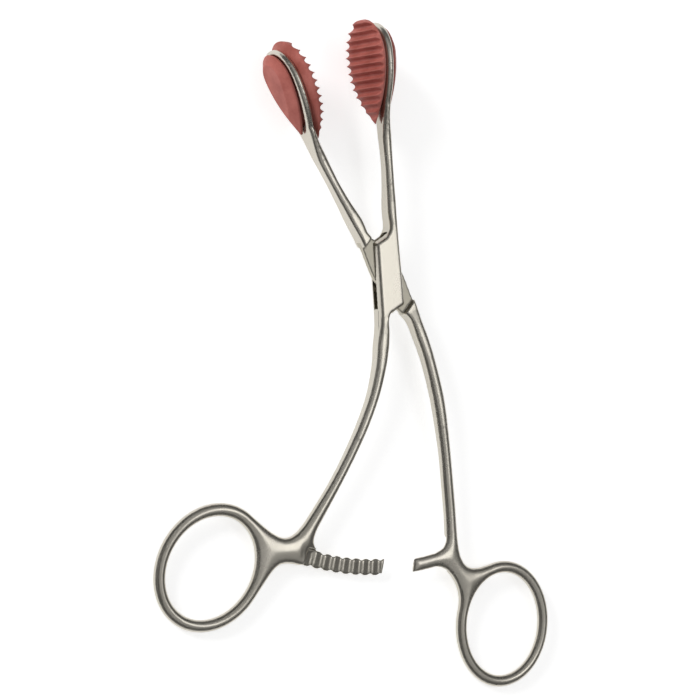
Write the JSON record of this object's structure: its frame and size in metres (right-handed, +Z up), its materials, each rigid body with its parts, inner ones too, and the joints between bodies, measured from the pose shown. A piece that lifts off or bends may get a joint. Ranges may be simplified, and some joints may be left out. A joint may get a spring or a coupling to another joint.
{
  "type": "tongue forceps",
  "caption": "Hand forceps with two finger rings, box lock, ratchet and oval wire jaws holding ridged rubber pads.",
  "frame": {"origin": "centre of the bounding box on the surface the forceps rest on", "axes": "+Y along the instrument towards the jaws, +Z up from the surface and out of the front of the box lock, +X to the side of the ring whose shank is the straighter one"},
  "size_m": [0.104, 0.172, 0.0164],
  "materials": {
    "satin_steel": "satin stainless steel",
    "pin_steel": "satin stainless steel, ground flush",
    "satin_steel_through": "satin stainless steel",
    "brick_rubber_right": "dull moulded rubber",
    "brick_rubber_left": "dull moulded rubber"
  },
  "bodies": {
    "box_half": {"box_arm": "satin_steel", "pivot_pin": "pin_steel", "right_insert": "brick_rubber_right"},
    "through_half": {"through_arm": "satin_steel_through", "left_insert": "brick_rubber_left"}
  },
  "joints": [
    {"name": "box_lock", "type": "hinge", "parent": "box_half", "child": "through_half", "pos_m": [0.03045, 0.02429, 0.00593], "axis": [-0.0249, -0.0429, 0.9988], "range_deg": [-20, 35]}
  ]
}
